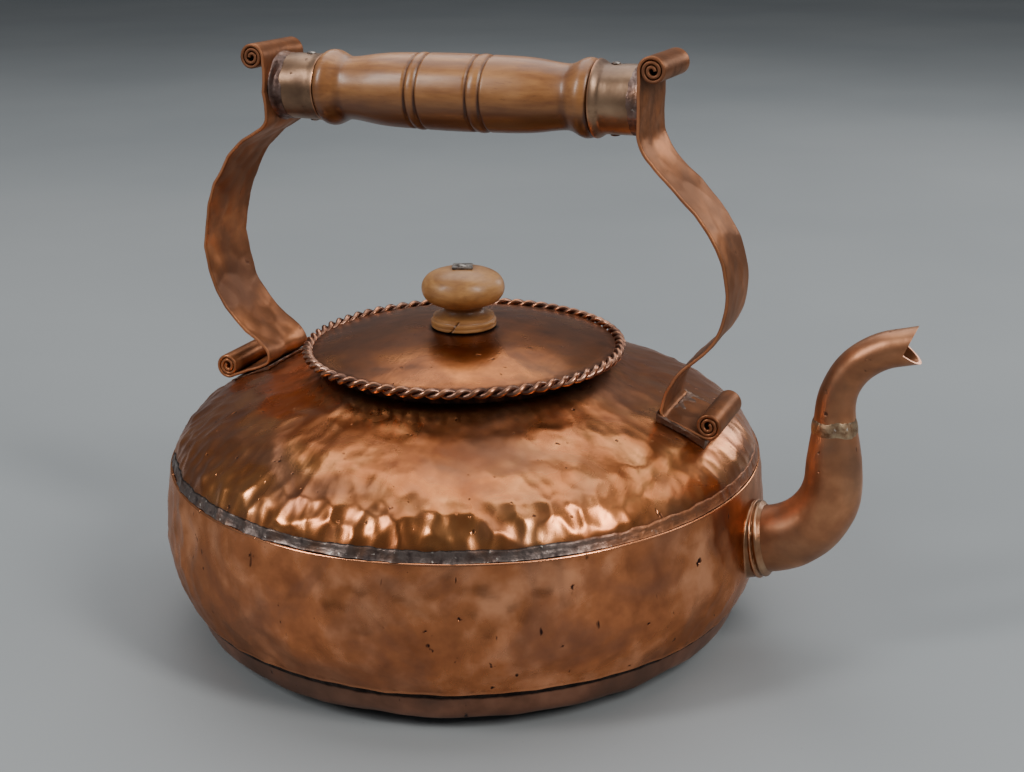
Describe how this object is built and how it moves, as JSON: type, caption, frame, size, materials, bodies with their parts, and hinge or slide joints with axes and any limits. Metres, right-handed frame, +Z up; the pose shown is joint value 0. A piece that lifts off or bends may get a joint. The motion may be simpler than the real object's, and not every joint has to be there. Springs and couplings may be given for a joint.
{
  "type": "kettle",
  "caption": "Hammered copper kettle with a gooseneck spout, a fixed overhead handle with a turned wooden grip, and a loose lid with a twisted wire rim and wooden knob.",
  "frame": {"origin": "centre of the kettle's round base, on the surface it stands on", "axes": "+Z up along the body's axis; +X towards the spout; the handle and the spout lie in the XZ plane"},
  "size_m": [0.3783, 0.3074, 0.2867],
  "materials": {
    "hammered_copper": "hammered, aged brown copper with a soft polish",
    "spout_copper": "smooth rubbed copper, brownish, soft sheen",
    "strap_copper": "flat copper strip, lightly planished, brown patina",
    "lid_copper": "dark brown copper, lightly scratched",
    "solder": "lumpy grey soft solder, dull",
    "grip_wood": "turned hardwood, orange-brown varnish, semi-gloss",
    "knob_wood": "turned hardwood, paler, worn varnish",
    "fixing_iron": "dark iron, dull"
  },
  "bodies": {
    "kettle": {"body_upper": "hammered_copper", "body_lower": "hammered_copper", "base_pan": "hammered_copper", "neck_ring": "hammered_copper", "spout_lower": "spout_copper", "spout_upper": "spout_copper", "spout_collar": "spout_copper", "strap_front": "strap_copper", "strap_rear": "strap_copper", "ferrule_front": "strap_copper", "ferrule_rear": "strap_copper", "base_seam_solder": "solder", "shoulder_solder": "solder", "spout_joint_solder": "solder", "foot_solder_front": "solder", "foot_solder_rear": "solder", "ferrule_solder_front": "solder", "ferrule_solder_rear": "solder", "grip": "grip_wood", "ferrule_nails": "fixing_iron"},
    "lid": {"lid_disc": "lid_copper", "lid_rope": "lid_copper", "lid_sleeve": "lid_copper", "backing_washer": "lid_copper", "knob": "knob_wood", "knob_pin": "fixing_iron", "knob_washer": "fixing_iron"}
  },
  "joints": [
    {"name": "lid_lift", "type": "slide", "parent": "kettle", "child": "lid", "axis": [0, 0, 1], "range_m": [0, 0.055]}
  ]
}
